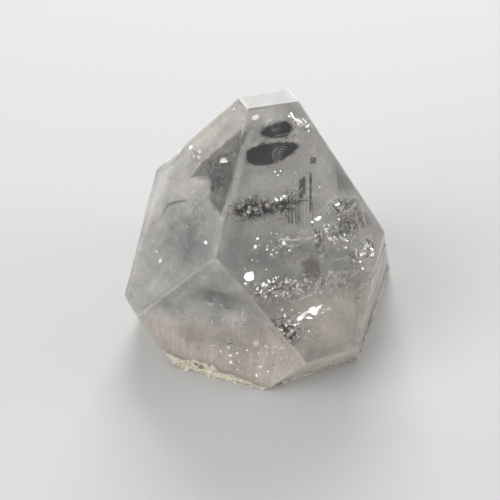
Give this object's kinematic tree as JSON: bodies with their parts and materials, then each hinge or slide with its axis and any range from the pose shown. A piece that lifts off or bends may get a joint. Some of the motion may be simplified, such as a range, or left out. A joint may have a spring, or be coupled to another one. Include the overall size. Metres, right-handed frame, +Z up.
{
  "type": "apophyllite point",
  "caption": "Loose, milky-clear apophyllite crystal with a steep four-sided point, standing on its flat cleavage base as a display stone.",
  "frame": {"origin": "middle of the flat cleavage base, at the height of the surface that it stands on", "axes": "+Z up along the crystal's upright (c) axis, from the base to the blunt tip; -Y out of the front prism side; +X out of the right prism side"},
  "size_m": [0.0358, 0.0374, 0.0401],
  "materials": {
    "crystal": "vitreous natural crystal, clear to milky, IOR 1.535, with a pale rough cleaved rim"
  },
  "bodies": {
    "root": {"apophyllite_crystal": "crystal"}
  },
  "joints": []
}
